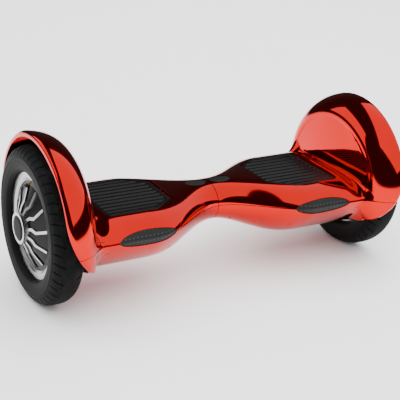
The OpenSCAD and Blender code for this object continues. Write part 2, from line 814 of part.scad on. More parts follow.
module charge_socket() {
    color("#aeb3b8") {
        translate([socket_x, port_y, boss_face_z]) difference() {
            cylinder(r = socket_r, h = 17);
            translate([0, 0, -1]) cylinder(r = socket_r - 2, h = 15);
        }
        translate([socket_x, port_y, boss_face_z + 3]) for (a = [0, 120, 240]) rotate([0, 0, a])
            translate([4, 0, 0]) cylinder(r = 1.1, h = 12, $fn = 24);
    }
}

module charge_flap() {
    color("#1c1d1f") translate([0, 0, flap_z]) difference() {
        linear_extrude(flap_t) union() {
            translate([socket_x, port_y]) circle(r = socket_r + 2);
            translate([socket_x - flap_arm, port_y]) circle(r = 5);
            translate([socket_x - flap_arm, port_y - 5]) square([flap_arm, 10]);
        }
        translate([socket_x - flap_arm, port_y, -1]) cylinder(r = 1.5 + bearing_gap, h = flap_t + 2);
    }
}

left() upper_shell();  // left_upper_shell
left() lower_shell(false);  // left_lower_shell
left() foot_pad();  // left_foot_pad
left() lamp_lens();  // left_lamp_lens
left() lamp_board();  // left_lamp_board
left() window();  // left_window
left() shell_screws(false);  // left_shell_screws
left() chassis(pivot_r + bearing_gap, false);  // left_chassis
left() axle_clamp();  // left_axle_clamp
left() clamp_bolts();  // left_clamp_bolts
left() axle();  // left_axle
left() stator();  // left_stator
left() windings();  // left_windings
left() bearings();  // left_bearings
left() magnet_ring();  // left_magnet_ring
left() inner_cover();  // left_inner_cover
left() rim();  // left_rim
left() outer_cover();  // left_outer_cover
left() spoke_trim();  // left_spoke_trim
left() hub_cap();  // left_hub_cap
left() inner_tube();  // left_inner_tube
left() tyre();  // left_tyre
left() valve_stem();  // left_valve_stem
left() valve_cap();  // left_valve_cap
left() sensor_board();  // left_sensor_board
pivot_tube();
pivot_ring();
left() battery();
left() battery_strap();
upper_shell();  // right_upper_shell
lower_shell(true);  // right_lower_shell
foot_pad();  // right_foot_pad
lamp_lens();  // right_lamp_lens
lamp_board();  // right_lamp_board
window();  // right_window
shell_screws(true);  // right_shell_screws
chassis(pivot_r + bush_t + bearing_gap, true);  // right_chassis
axle_clamp();  // right_axle_clamp
clamp_bolts();  // right_clamp_bolts
axle();  // right_axle
stator();  // right_stator
windings();  // right_windings
bearings();  // right_bearings
magnet_ring();  // right_magnet_ring
inner_cover();  // right_inner_cover
rim();  // right_rim
outer_cover();  // right_outer_cover
spoke_trim();  // right_spoke_trim
hub_cap();  // right_hub_cap
inner_tube();  // right_inner_tube
tyre();  // right_tyre
valve_stem();  // right_valve_stem
valve_cap();  // right_valve_cap
sensor_board();  // right_sensor_board
pivot_bushes();
main_board();
power_button();
power_switch();
charge_socket();
charge_flap();
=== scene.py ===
import json
import math
import bpy
from mathutils import Matrix, Vector


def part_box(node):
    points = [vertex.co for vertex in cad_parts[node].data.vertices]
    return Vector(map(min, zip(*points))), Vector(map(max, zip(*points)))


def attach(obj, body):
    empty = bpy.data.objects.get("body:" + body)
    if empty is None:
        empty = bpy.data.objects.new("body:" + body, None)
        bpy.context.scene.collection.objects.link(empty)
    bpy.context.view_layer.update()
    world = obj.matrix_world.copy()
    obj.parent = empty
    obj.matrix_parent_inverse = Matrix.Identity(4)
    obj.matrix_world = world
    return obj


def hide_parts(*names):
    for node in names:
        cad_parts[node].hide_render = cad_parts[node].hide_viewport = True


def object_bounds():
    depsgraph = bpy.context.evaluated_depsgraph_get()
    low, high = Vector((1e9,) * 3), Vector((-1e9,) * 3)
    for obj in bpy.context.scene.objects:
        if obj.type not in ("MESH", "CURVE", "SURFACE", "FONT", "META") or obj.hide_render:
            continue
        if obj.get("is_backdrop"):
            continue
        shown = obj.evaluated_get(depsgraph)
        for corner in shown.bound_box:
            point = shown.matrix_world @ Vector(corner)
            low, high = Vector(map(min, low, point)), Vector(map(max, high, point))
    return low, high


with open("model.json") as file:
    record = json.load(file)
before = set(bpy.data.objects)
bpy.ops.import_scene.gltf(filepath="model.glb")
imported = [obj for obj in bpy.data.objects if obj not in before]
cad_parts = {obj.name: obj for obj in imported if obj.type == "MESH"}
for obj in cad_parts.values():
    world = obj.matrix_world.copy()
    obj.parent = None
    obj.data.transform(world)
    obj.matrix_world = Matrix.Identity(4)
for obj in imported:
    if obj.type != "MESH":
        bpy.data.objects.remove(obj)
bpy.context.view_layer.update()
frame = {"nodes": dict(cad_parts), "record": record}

# Self balancing hoverboard. Sizes in the dictionaries are millimetres, and meshes are metres.
# +X runs to the right wheel, -Y is the front and +Z is up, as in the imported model.

mm = 0.001
sides = {"left": -1, "right": 1}
print("frame loaded:", len(frame["nodes"]), "nodes")


# Small tools

def activate(piece):
    bpy.ops.object.select_all(action="DESELECT")
    piece.select_set(True)
    bpy.context.view_layer.objects.active = piece


def inEdit(piece, *steps):
    activate(piece)
    bpy.ops.object.mode_set(mode="EDIT")
    bpy.ops.mesh.select_all(action="SELECT")
    for step in steps:
        step()
    bpy.ops.object.mode_set(mode="OBJECT")


def applyModifier(piece, kind, **settings):
    activate(piece)
    modifier = piece.modifiers.new(kind, kind)
    for key, value in settings.items():
        setattr(modifier, key, value)
    bpy.ops.object.modifier_apply(modifier=modifier.name)


def smoothStep(t):
    c = min(max(t, 0), 1)
    return c * c * (3 - 2 * c)


def mix(a, b, f):
    return a + (b - a) * f


# A grid primitive whose corners (0..1, 0..1) are carried to places in millimetres
def gridSurface(name, across, along, place, flip=False):
    bpy.ops.object.select_all(action="DESELECT")
    bpy.ops.mesh.primitive_grid_add(x_subdivisions=across, y_subdivisions=along, size=2)
    piece = bpy.context.object
    piece.name = name
    for v in piece.data.vertices:
        v.co = Vector(place((v.co.x + 1) / 2, (v.co.y + 1) / 2)) * mm
    inEdit(piece, lambda: bpy.ops.mesh.remove_doubles(threshold=0.000002))
    if flip:
        inEdit(piece, bpy.ops.mesh.flip_normals)
    return piece


def faceOutwards(piece):
    inEdit(piece, lambda: bpy.ops.mesh.normals_make_consistent(inside=False))


def mirrorCopy(piece, name):
    copy = bpy.data.objects.new(name, piece.data.copy())
    bpy.context.collection.objects.link(copy)
    copy.data.transform(Matrix.Scale(-1, 4, (1, 0, 0)))
    inEdit(copy, bpy.ops.mesh.flip_normals)
    return copy


# A closed prism between two heights from an outline, along axis 1 (Y) or 2 (Z)
def prism(name, outline, low, high, axis):
    def lift(p, h):
        return Vector((p[0], h, p[1]) if axis == 1 else (p[0], p[1], h)) * mm
    bpy.ops.object.select_all(action="DESELECT")
    bpy.ops.mesh.primitive_circle_add(vertices=len(outline), radius=1, fill_type="NGON")
    piece = bpy.context.object
    piece.name = name
    for v, p in zip(piece.data.vertices, outline):
        v.co = lift(p, low)
    travel = {"value": lift((0, 0), high - low)}
    inEdit(piece, lambda: bpy.ops.mesh.extrude_region_move(TRANSFORM_OT_translate=travel))
    faceOutwards(piece)
    return piece


def combine(piece, cutter, operation="DIFFERENCE"):
    applyModifier(piece, "BOOLEAN", object=cutter, operation=operation, solver="EXACT")
    bpy.data.objects.remove(cutter)


def smoothShade(piece, angle=35):
    activate(piece)
    bpy.ops.object.shade_smooth_by_angle(angle=math.radians(angle))


def finishPiece(piece, body, replaced, material):
    piece.data.materials.clear()
    piece.data.materials.append(material)
    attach(piece, body)
    if replaced:
        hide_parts(*replaced)


# Materials

class Flow:
    def __init__(self, recipe, socket):
        self.recipe, self.socket = recipe, socket

    def math(self, operation, a, b):
        return self.recipe.node("ShaderNodeMath", {"operation": operation}, {0: a, 1: b})

    def __add__(self, other):
        return self.math("ADD", self, other)

    def __radd__(self, other):
        return self.math("ADD", other, self)

    def __sub__(self, other):
        return self.math("SUBTRACT", self, other)

    def __rsub__(self, other):
        return self.math("SUBTRACT", other, self)

    def __mul__(self, other):
        return self.math("MULTIPLY", self, other)

    def __rmul__(self, other):
        return self.math("MULTIPLY", other, self)

    def __pow__(self, other):
        return self.math("POWER", self, other)

    def __mod__(self, other):
        return self.math("FLOORED_MODULO", self, other)

    def __abs__(self):
        return self.math("ABSOLUTE", self, 0)

    def sin(self):
        return self.math("SINE", self, 0)

    def soft(self, low, high):
        settings = {"interpolation_type": "SMOOTHSTEP"}
        return self.recipe.node("ShaderNodeMapRange", settings, {0: self, 1: low, 2: high})


class Recipe:
    def __init__(self, name, **plain):
        self.material = bpy.data.materials.new(name)
        self.material.use_nodes = True
        self.tree = self.material.node_tree
        self.shader = self.tree.nodes["Principled BSDF"]
        for key, value in plain.items():
            self.set(self.shader, key.replace("_", " "), value)

    def set(self, node, key, value):
        socket = node.inputs[key]
        if isinstance(value, Flow):
            self.tree.links.new(value.socket, socket)
        elif isinstance(value, (tuple, list)) and socket.type == "RGBA":
            socket.default_value = (*value, 1)[:4]
        else:
            socket.default_value = value

    def node(self, kind, settings=None, inputs=None, output=0):
        made = self.tree.nodes.new(kind)
        for key, value in (settings or {}).items():
            if key == "stops":
                ramp = made.color_ramp
                for index, (position, colour) in enumerate(value):
                    stop = ramp.elements[index] if index < 2 else ramp.elements.new(position)
                    stop.position, stop.color = position, (*colour, 1)
            else:
                setattr(made, key, value)
        for key, value in (inputs or {}).items():
            self.set(made, key, value)
        return Flow(self, made.outputs[output])

    def place(self):
        return self.node("ShaderNodeTexCoord", output=3)

    def noise(self, scale, detail=3, stretch=None, roughness=0.5):
        where = self.place()
        if stretch:
            where = self.node("ShaderNodeMapping", None, {0: where, 3: stretch})
        inputs = {"Vector": where, "Scale": scale, "Detail": detail, "Roughness": roughness}
        return self.node("ShaderNodeTexNoise", None, inputs)

    def axes(self):
        where = self.place()
        split = self.tree.nodes.new("ShaderNodeSeparateXYZ")
        self.tree.links.new(where.socket, split.inputs[0])
        return [Flow(self, socket) for socket in split.outputs]

    def blend(self, factor, a, b):
        return self.node("ShaderNodeMix", {"data_type": "RGBA"}, {0: factor, 6: a, 7: b}, 2)

    def colour(self, value):
        self.set(self.shader, "Base Color", value)

    def rough(self, value):
        self.set(self.shader, "Roughness", value)

    def bump(self, height, depth, strength=1):
        inputs = {"Height": height, "Distance": depth, "Strength": strength}
        made = self.node("ShaderNodeBump", None, inputs)
        self.set(self.shader, "Normal", made)


def plasticGrain(recipe, base, light, scale, roughLow, roughHigh, depth):
    grain = recipe.noise(scale, 5)
    recipe.colour(recipe.blend(grain.soft(0.3, 0.7), base, light))
    recipe.rough(roughLow + recipe.noise(scale / 6, 3) * (roughHigh - roughLow))
    recipe.bump(grain, depth)


finish = {
    "redDeep": (0.54, 0.006, 0.004), "redBright": (0.62, 0.008, 0.005), "lacquer": 0.05,
}


def redPlating():
    recipe = Recipe("redPlating", Metallic=1.0, Coat_Weight=finish["lacquer"], Coat_Roughness=0.02)
    haze = recipe.noise(7, 3).soft(0.25, 0.75)
    dust = recipe.noise(900, 2).soft(0.68, 0.8)
    recipe.colour(recipe.blend(haze, finish["redDeep"], finish["redBright"]))
    recipe.rough(0.05 + haze * 0.03 + dust * 0.08)
    recipe.bump(recipe.noise(120, 2), 0.00002, 0.25)
    return recipe.material


def padRubber():
    recipe = Recipe("padRubber", Specular_IOR_Level=0.2)
    plasticGrain(recipe, (0.002, 0.002, 0.0023), (0.004, 0.004, 0.0044), 1800, 0.22, 0.34, 0.000006)
    return recipe.material


def smokedLens():
    recipe = Recipe("smokedLens", Coat_Weight=0.05, Coat_Roughness=0.25, Specular_IOR_Level=0.12)
    x, y, z = recipe.axes()
    row = abs((x * 143) % 1 - 0.5) * 2
    line = abs((z * 125 + 0.12) % 1 - 0.5) * 2
    spots = (row * row + line * line).soft(0.16, 0.05)
    haze = recipe.noise(40, 3)
    inside = recipe.blend(haze, (0.006, 0.0068, 0.0062), (0.011, 0.0125, 0.0115))
    recipe.colour(recipe.blend(spots * 0.5, inside, (0.05, 0.056, 0.052)))
    recipe.rough(0.42 + haze * 0.1)
    recipe.bump(haze, 0.00002)
    return recipe.material


def tyreRubber():
    recipe = Recipe("tyreRubber", Specular_IOR_Level=0.06)
    x, y, z = recipe.axes()
    up = z - 0.127
    radius = (y * y + up * up) ** 0.5
    tread = radius.soft(0.119, 0.1255)
    grain = recipe.noise(700, 6)
    dust = recipe.noise(60, 4).soft(0.45, 0.75)
    side = recipe.blend(grain, (0.003, 0.0033, 0.0035), (0.006, 0.0063, 0.0066))
    worn = recipe.blend(dust, (0.004, 0.004, 0.004), (0.008, 0.0079, 0.0077))
    recipe.colour(recipe.blend(tread, side, worn))
    rings = (radius * 2400).sin() * 0.5 + 0.5
    turn = y.math("ARCTAN2", y, up) * (24 / math.tau)
    wave = abs(turn % 1 - 0.5) * 4 - 1
    across = abs(x) - 0.2985
    centreLine = abs(across - wave * 0.006).soft(0.0009, 0.0003)
    outerLines = abs(abs(across) - 0.0125 - wave * 0.0015).soft(0.0008, 0.0003)
    hair = centreLine + outerLines
    recipe.rough(0.46 + grain * 0.14 + tread * 0.14)
    recipe.bump(grain * 0.08 + rings * (1 - tread) * 0.05 - hair * tread, 0.0012)
    return recipe.material


def machinedMetal(name, base, light, roughLow, roughHigh, pitch, depth):
    recipe = Recipe(name, Metallic=1.0)
    x, y, z = recipe.axes()
    up = z - 0.127
    radius = (y * y + up * up) ** 0.5
    inputs = {"W": radius, "Scale": pitch, "Detail": 3}
    cut = recipe.node("ShaderNodeTexNoise", {"noise_dimensions": "1D"}, inputs)
    haze = recipe.noise(60, 4)
    recipe.colour(recipe.blend(cut * 0.6 + haze * 0.4, base, light))
    recipe.rough(roughLow + cut * (roughHigh - roughLow))
    recipe.bump(cut, depth)
    return recipe.material


def plainMetal(name, base, light, rough, scale, depth):
    recipe = Recipe(name, Metallic=1.0)
    grain = recipe.noise(scale, 5)
    recipe.colour(recipe.blend(grain, base, light))
    recipe.rough(rough + grain * 0.15)
    recipe.bump(grain, depth)
    return recipe.material


def blackPaint():
    recipe = Recipe("blackPaint", Coat_Weight=0.08, Coat_Roughness=0.05, Specular_IOR_Level=0.1)
    peel = recipe.noise(260, 3)
    recipe.colour(recipe.blend(recipe.noise(30, 4), (0.002, 0.002, 0.0022), (0.005, 0.005, 0.0054)))
    recipe.rough(0.2 + peel * 0.08)
    recipe.bump(peel, 0.000008)
    return recipe.material


def moulded(name, base, light, scale=1400, rough=0.45):
    recipe = Recipe(name, Specular_IOR_Level=0.05)
    plasticGrain(recipe, base, light, scale, rough - 0.08, rough + 0.1, 0.00001)
    return recipe.material


def copperWire():
    recipe = Recipe("copperWire", Metallic=0.9)
    x, y, z = recipe.axes()
    turns = (x * 6000).sin() * 0.5 + 0.5
    recipe.colour(recipe.blend(turns, (0.24, 0.07, 0.02), (0.72, 0.30, 0.12)))
    recipe.rough(0.3 + recipe.noise(300) * 0.2)
    recipe.bump(turns, 0.0003)
    return recipe.material


def circuitBoard(name, base, track, pads):
    recipe = Recipe(name)
    x, y, z = recipe.axes()
    inputs = {"Vector": recipe.place(), "Scale": 160}
    cells = recipe.node("ShaderNodeTexVoronoi", {"distance": "CHEBYCHEV"}, inputs)
    lines = (cells % 0.22).soft(0.02, 0.06)
    body = recipe.blend(lines, track, base)
    recipe.colour(recipe.blend(recipe.noise(420, 2).soft(0.66, 0.7), body, pads))
    recipe.rough(0.3 + lines * 0.2)
    recipe.bump(lines, 0.00004)
    return recipe.material


def shrinkWrap():
    recipe = Recipe("shrinkWrap", Coat_Weight=0.5)
    folds = recipe.noise(18, 4, (1, 5, 5))
    recipe.colour(recipe.blend(folds, (0.01, 0.05, 0.26), (0.03, 0.11, 0.42)))
    recipe.rough(0.22 + folds * 0.15)
    recipe.bump(folds, 0.0012)
    return recipe.material


materials = {
    "shell": redPlating(), "pad": padRubber(), "lens": smokedLens(), "tyre": tyreRubber(),
    "rim": machinedMetal("machinedRim", (0.34, 0.34, 0.335), (0.52, 0.52, 0.51), 0.16, 0.34, 900, 0.00003),
    "trim": machinedMetal("silverTrim", (0.42, 0.42, 0.415), (0.6, 0.6, 0.59), 0.14, 0.26, 500, 0.00002),
    "steel": plainMetal("turnedSteel", (0.36, 0.37, 0.38), (0.58, 0.59, 0.6), 0.25, 300, 0.00003),
    "dark_steel": plainMetal("blackOxide", (0.03, 0.03, 0.032), (0.08, 0.08, 0.085), 0.35, 500, 0.00004),
    "alloy": plainMetal("castAlloy", (0.34, 0.35, 0.36), (0.55, 0.56, 0.57), 0.45, 700, 0.00025),
    "brass": plainMetal("plainBrass", (0.42, 0.26, 0.09), (0.7, 0.5, 0.22), 0.22, 400, 0.00003),
    "cover": blackPaint(), "copper": copperWire(), "battery": shrinkWrap(),
    "cap": moulded("greyCap", (0.008, 0.0085, 0.0095), (0.014, 0.015, 0.0165), 1600, 0.5),
    "tube_rubber": moulded("tubeRubber", (0.012, 0.012, 0.012), (0.03, 0.03, 0.03), 500, 0.6),
    "black_plastic": moulded("blackPlastic", (0.010, 0.010, 0.011), (0.024, 0.024, 0.026)),
    "strap": plainMetal("paintedBand", (0.05, 0.05, 0.055), (0.1, 0.1, 0.11), 0.4, 300, 0.00005),
    "circuit": circuitBoard("greenBoard", (0.008, 0.075, 0.022), (0.02, 0.16, 0.05), (0.55, 0.5, 0.35)),
    "lamp_board": circuitBoard("whiteBoard", (0.6, 0.58, 0.52), (0.75, 0.73, 0.66), (0.9, 0.75, 0.3)),
}
slotOf = {s["node"]: s["material_slot"] for s in frame["record"]["subparts"]}
for nodeName, node in frame["nodes"].items():
    node.data.materials.clear()
    node.data.materials.append(materials[slotOf[nodeName]])
print("materials ready:", len(materials))


# Body surface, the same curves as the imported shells

body = {
    "axleZ": 127, "neckDepth": 76, "deckDepth": 225,
    "neckRise": 28, "deckRise": 29, "neckDrop": 33, "bellyDrop": 65,
    "flareLength": 150.3, "splitGap": 1, "troughStart": 222, "troughLength": 24, "troughDrop": 9, "wall": 3,
}


def flare(x):
    return smoothStep(x / body["flareLength"])


def halfDepth(x):
    return mix(body["neckDepth"], body["deckDepth"], flare(x)) / 2


def rise(x):
    trough = body["troughDrop"] * smoothStep((x - body["troughStart"]) / body["troughLength"])
    return mix(body["neckRise"], body["deckRise"], flare(x)) - trough


def drop(x):
    return mix(body["neckDrop"], body["bellyDrop"], smoothStep(x / body["flareLength"] * 1.2))


def curve(x, upper):
    f = flare(x)
    return (mix(2, 4, f), mix(0.5, 0.8, f)) if upper else (mix(2, 3, f), mix(0.5, 0.9, f))


# Front half of the section at x: t is 0 on the belt and 90 at the top, or -90 under the belly
def sectionPoint(x, t, upper):
    n, m = curve(x, upper)
    reach = (rise(x) if upper else -drop(x)) * max(1 - math.cos(math.radians(t)) ** n, 0) ** m
    return Vector((x, -halfDepth(x) * math.cos(math.radians(t)), body["axleZ"] + reach))


def frontY(x, z, inset):
    upper = z >= body["axleZ"]
    n, m = curve(x, upper)
    v = min(abs(z - body["axleZ"]) / ((rise(x) if upper else drop(x)) - inset), 1)
    return -(halfDepth(x) - inset) * (1 - v ** (1 / m)) ** (1 / n)


def topZ(x, y, inset):
    n, m = curve(x, True)
    return body["axleZ"] + (rise(x) - inset) * (1 - (abs(y) / (halfDepth(x) - inset)) ** n) ** m


# Fender: a disc beside the deck that swells into a dome over the wheel

fender = {
    "wallX": 259, "discR": 113, "discSink": 0.8, "discBulge": 6, "stepWidth": 2.2,
    "domeR": 146, "lipX": 308, "lipBand": 6.5, "cutBand": 4.5, "lipRound": 3.2,
    "arcX": 188, "arcZ": 185, "arcR": 120, "seam": 0.3, "seamAngle": 8,
    "frontFillet": 22, "backFillet": 44, "topFillet": 9, "lowFillet": 34, "topAngle": 50,
    "tipAngle": -20, "blendAngle": 40, "beltAngle": 15, "edgeStep": 3,
    "sinkStart": 15, "sinkLength": 30, "bulgeLength": 12, "wallSteps": 60, "deckSteps": 320,
}


def domePoint(a, t):
    swell, across = math.sin(math.radians(a)), 1 - math.cos(math.radians(a))
    r = mix(fender["discR"], fender["domeR"], swell)
    return Vector((
        mix(fender["wallX"], fender["lipX"], across),
        -r * math.cos(math.radians(t)), body["axleZ"] + r * math.sin(math.radians(t))))


def edgeX(z):
    below = fender["arcZ"] - z
    if below <= 0:
        return fender["lipX"]
    return fender["arcX"] + math.sqrt(max(fender["arcR"] ** 2 - below ** 2, 0))


def domeEnd(t):
    low, high = 0, 90
    if domePoint(90, t).z >= fender["arcZ"]:
        return 90
    for step in range(30):
        middle = (low + high) / 2
        p = domePoint(middle, t)
        if p.x < edgeX(p.z):
            low = middle
        else:
            high = middle
    return low


def resample(points, count):
    lengths = [0]
    for a, b in zip(points, points[1:]):
        lengths.append(lengths[-1] + (b - a).length)
    made, k = [], 0
    for i in range(count + 1):
        s = lengths[-1] * i / count
        while k < len(points) - 2 and lengths[k + 1] < s:
            k += 1
        span = lengths[k + 1] - lengths[k]
        made.append(points[k].lerp(points[k + 1], (s - lengths[k]) / span if span > 0 else 0))
    return made


def splitAt(points, s):
    walked = 0
    for k, (a, b) in enumerate(zip(points, points[1:])):
        step = (b - a).length
        if walked + step >= s:
            cut = a.lerp(b, (s - walked) / step if step else 0)
            return points[:k + 1] + [cut], [cut] + points[k + 1:]
        walked += step
    return points, [points[-1], points[-1]]


def pathLength(points):
    return sum((b - a).length for a, b in zip(points, points[1:]))


def bezier(p0, p1, p2, p3, n=40):
    made = []
    for i in range(n + 1):
        u = i / n
        made.append(p0 * (1 - u) ** 3 + p1 * 3 * u * (1 - u) ** 2 + p2 * 3 * u * u * (1 - u) + p3 * u ** 3)
    return made


counts = {"deck": 88, "fillet": 16, "wall": 18, "edge": 3, "dome": 26, "corner": 4, "band": 4}


# One line of the shell from the neck, over the deck, up the disc and round the dome to its lip
def shellLine(t, upper):
    front = t if abs(t) <= 90 else math.copysign(180 - abs(t), t)
    side = 1 if abs(t) <= 90 else -1
    wallX = fender["wallX"]
    skirt = front > fender["tipAngle"]
    if upper:
        wide = fender["frontFillet"]
        if side == -1:
            wide = mix(wide, fender["backFillet"], smoothStep(front / fender["beltAngle"]))
        fillet = mix(wide, fender["topFillet"], smoothStep(front / fender["topAngle"]))
    else:
        fillet = mix(fender["frontFillet"], fender["lowFillet"], smoothStep(front / fender["tipAngle"]))
    corner = sectionPoint(wallX, front, upper)
    if skirt:
        discEdge = domePoint(0, front)
        discWidth = (discEdge - corner).length
        sink = fender["discSink"] * smoothStep((discWidth - fender["sinkStart"]) / fender["sinkLength"])
        n = fender["wallSteps"]
        wallLine = [corner.lerp(discEdge, i / n) for i in range(n + 1)]
        for p in wallLine:
            p.x += sink * (1 - smoothStep(1 - (p - discEdge).length / fender["stepWidth"]))
            away = math.hypot(p.y, p.z - body["axleZ"]) / fender["discR"]
            if upper:
                grown = smoothStep((p - corner).length / fender["bulgeLength"])
                p.x -= fender["discBulge"] * (1 - away ** 2) * grown
        end = domeEnd(front)
        outward = wallLine + [domePoint(end * (i + 1) / n, front) for i in range(n)]
        fillet = min(fillet, 0.92 * pathLength(outward))
        joined, rest = splitAt(outward, fillet)
        turn = (rest[1] - rest[0]).normalized()
    else:
        fade = smoothStep((fender["tipAngle"] - front) / fender["blendAngle"])
        tip = domePoint(0, fender["tipAngle"])
        hang = (tip - sectionPoint(wallX, fender["tipAngle"], upper)) * (1 - fade)
        target = sectionPoint(wallX + fender["edgeStep"], front, upper) + hang
        rest = [target, target]
        turn = Vector((fade + 0.05, 0, -(1 - fade))).normalized()
    startX = wallX - fillet
    n = fender["deckSteps"]
    deck = [sectionPoint(mix(body["splitGap"] / 2, startX, i / n), front, upper) for i in range(n + 1)]
    ahead = (deck[-1] - deck[-2]).normalized()
    pull = fillet * 0.6
    bend = bezier(deck[-1], deck[-1] + ahead * pull, rest[0] - turn * pull, rest[0])
    path = bend + rest[1:]
    total = pathLength(path)
    bent = pathLength(bend)
    path, lost = splitAt(path, total - fender["lipRound"])
    edge = lost[-1]
    parts = [resample(deck, counts["deck"])]
    if skirt:
        onWall = pathLength(outward[:len(wallLine)])
        reachEdge = bent + max(onWall - fillet, 5)
        marks = [min(bent, 0.4 * total), 0, 0]
        marks[2] = min(max(reachEdge, marks[0] + 5), total * 0.8)
        marks[1] = max(marks[2] - 2.4, mix(marks[0], marks[2], 0.5))
    else:
        marks = [0.3 * total, 0.5 * total, 0.6 * total]
    walked = 0
    for mark, key in zip(marks, ("fillet", "wall", "edge")):
        piece, path = splitAt(path, mark - walked)
        walked = mark
        parts.append(resample(piece, counts[key])[1:])
    parts.append(resample(path, counts["dome"])[1:])
    inward = Vector((0, -edge.y, body["axleZ"] - edge.z)).normalized()
    band = fender["lipBand"]
    if not upper:
        band = mix(band, fender["cutBand"], smoothStep(front / fender["tipAngle"]))
    begin = edge + inward * fender["lipRound"]
    last = parts[-1][-1]
    parts.append(bezier(last, last.lerp(edge, 0.6), begin.lerp(edge, 0.6), begin, counts["corner"])[1:])
    parts.append(resample([begin, edge + inward * band], counts["band"])[1:])
    lift = fender["seam"] * (1 - smoothStep(abs(front) / fender["seamAngle"]))
    lift *= 1 if upper else -1
    return [Vector((p.x, p.y * side, p.z + lift)) for part in parts for p in part]


def shellSheet(name, upper, rows):
    turn = 180 if upper else -180
    lines = [shellLine(turn * j / rows, upper) for j in range(rows + 1)]
    last = len(lines[0]) - 1
    sheet = gridSurface(name, last, rows, lambda u, v: lines[round(v * rows)][round(u * last)], flip=upper)
    applyModifier(sheet, "SOLIDIFY", thickness=body["wall"] * mm, offset=-1, use_rim=True)
    return sheet


def ellipse(cx, cy, a, b, n=72):
    return [(cx + a * math.cos(math.tau * i / n), cy + b * math.sin(math.tau * i / n)) for i in range(n)]


# Closes the end of a half shell beside the wheel, round the axle
def bulkhead(name, upper):
    hole, inset = 22, 1.5
    x = fender["wallX"] + body["wall"] + (1.4 if upper else 0.3)
    turn = 180 if upper else -180
    def place(u, v):
        t = turn * v
        front = t if abs(t) <= 90 else math.copysign(180 - abs(t), t)
        side = 1 if abs(t) <= 90 else -1
        p = sectionPoint(fender["wallX"], front, upper)
        out = Vector((x, p.y * side, p.z))
        middle = Vector((x, 0, body["axleZ"]))
        out = middle + (out - middle) * (1 - inset / (out - middle).length)
        angle = math.radians(t)
        ring = middle + Vector((0, -hole * math.cos(angle), hole * math.sin(angle)))
        return ring.lerp(out, u)
    plate = gridSurface(name, 6, 60, place, flip=not upper)
    applyModifier(plate, "SOLIDIFY", thickness=2 * mm, offset=-1, use_rim=True)
    return plate


def joinPieces(piece, *others):
    bpy.ops.object.select_all(action="DESELECT")
    for other in (piece, *others):
        other.select_set(True)
    bpy.context.view_layer.objects.active = piece
    bpy.ops.object.join()
    return piece


# Foot pads

pad = {
    "inX": 90, "outX": 219, "halfDepth": 72, "innerHalf": 43, "chamfer": 42, "round": 9,
    "gap": 0.5, "wellWall": 3, "wellFloor": 3, "wellTop": 5.2,
    "seatZ": 147.5, "topZ": 155, "baseZ": 148.8,
    "ribs": 9, "border": 13.5, "ribDrop": 1.9, "edgeRound": 1.6,
    "pegR": 3.5, "pegX": 42, "pegY": 34, "pegLow": 138.8,
}


def padOutline(grow, arc=8):
    hd, hi = pad["halfDepth"] + grow, pad["innerHalf"] + grow / 2
    x0, x1, xc = pad["inX"] - grow, pad["outX"] + grow, pad["inX"] + pad["chamfer"]
    corners = [Vector(c) for c in [(x1, -hd), (x1, hd), (xc, hd), (x0, hi), (x0, -hi), (xc, -hd)]]
    made = []
    for i, b in enumerate(corners):
        u, v = (corners[i - 1] - b).normalized(), (corners[(i + 1) % 6] - b).normalized()
        half = math.acos(u.dot(v)) / 2
        r = pad["round"] + grow
        centre = b + (u + v).normalized() * r / math.sin(half)
        s, e = b + u * r / math.tan(half) - centre, b + v * r / math.tan(half) - centre
        made += [centre + s.lerp(e, k / arc).normalized() * r for k in range(arc + 1)]
    return made


def rowSpan(outline, y):
    xs = []
    for a, b in zip(outline, outline[1:] + outline[:1]):
        if min(a.y, b.y) <= y <= max(a.y, b.y) and a.y != b.y:
            xs.append(mix(a.x, b.x, (y - a.y) / (b.y - a.y)))
    return min(xs), max(xs)


def edgeDistance(outline, p):
    best = 1000
    for a, b in zip(outline, outline[1:] + outline[:1]):
        along = b - a
        f = min(max((p - a).dot(along) / along.dot(along), 0), 1)
        best = min(best, (a + along * f - p).length)
    return best


